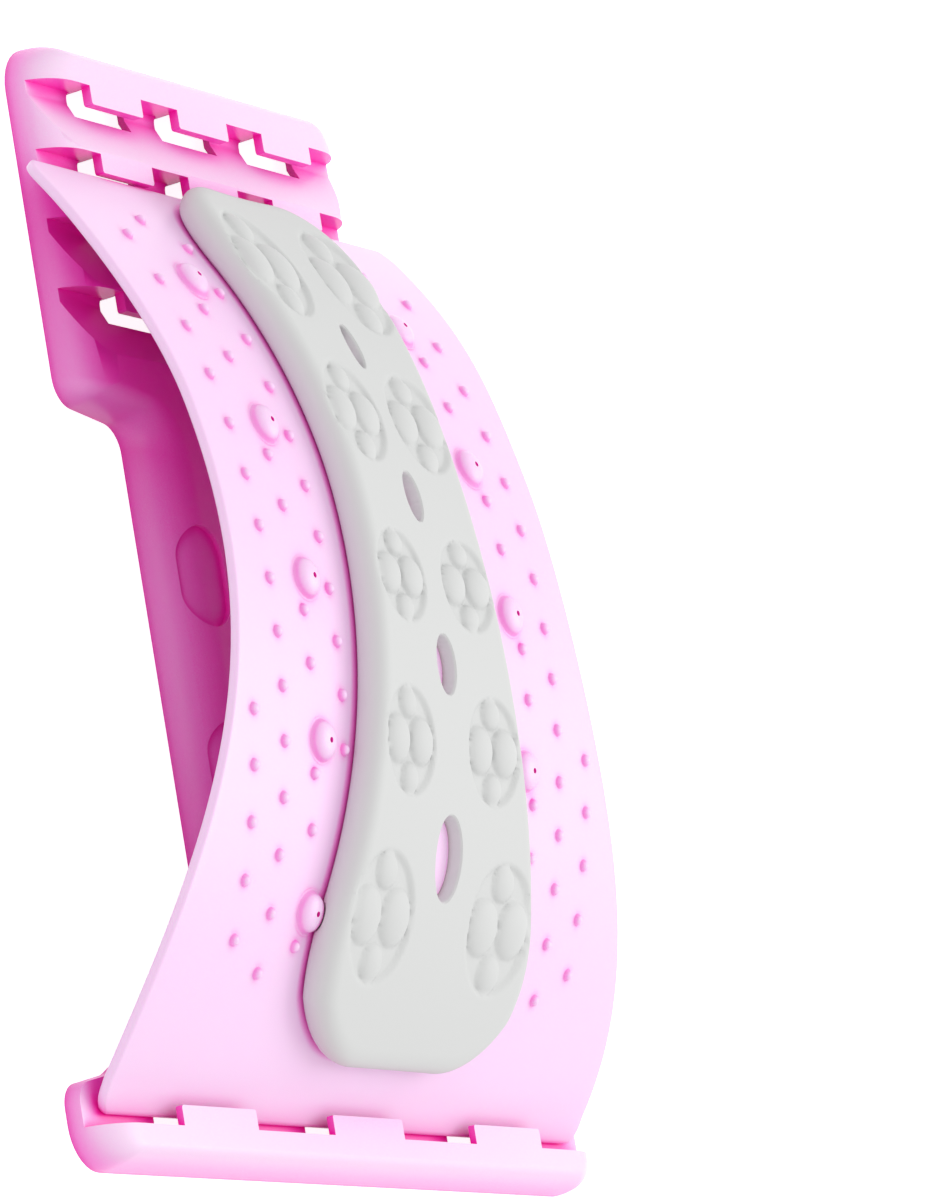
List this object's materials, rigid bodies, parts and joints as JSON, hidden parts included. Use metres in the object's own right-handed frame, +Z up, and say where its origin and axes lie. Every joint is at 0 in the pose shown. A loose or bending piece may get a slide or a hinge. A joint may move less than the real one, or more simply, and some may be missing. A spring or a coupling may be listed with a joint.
{
  "type": "back stretcher",
  "caption": "Lumbar back stretcher: sprung arch board with a soft knobbed pad, hooked into a notched base and lifted about its foot edge.",
  "frame": {"origin": "middle of the base's footprint, on the floor", "axes": "+X from the notched head end to the foot end, +Y across, +Z up out of the floor"},
  "size_m": [0.395, 0.335, 0.0785],
  "materials": {
    "base_abs": "pink moulded ABS, satin",
    "board_abs": "light pink moulded ABS, satin",
    "pad_foam": "pale grey soft moulded foam, matt",
    "magnet_ferrite": "sintered ferrite, matt"
  },
  "bodies": {
    "base": {"base": "base_abs"},
    "board": {"arch_board": "board_abs", "massage_pad": "pad_foam", "magnet_left_1": "magnet_ferrite", "magnet_right_1": "magnet_ferrite", "magnet_left_2": "magnet_ferrite", "magnet_right_2": "magnet_ferrite", "magnet_left_3": "magnet_ferrite", "magnet_right_3": "magnet_ferrite", "magnet_left_4": "magnet_ferrite", "magnet_right_4": "magnet_ferrite", "magnet_left_5": "magnet_ferrite", "magnet_right_5": "magnet_ferrite"}
  },
  "joints": [
    {"name": "board_lift", "type": "hinge", "parent": "base", "child": "board", "pos_m": [0.1775, 0, 0.00755], "axis": [0, 1, 0], "range_deg": [0, 18]}
  ]
}
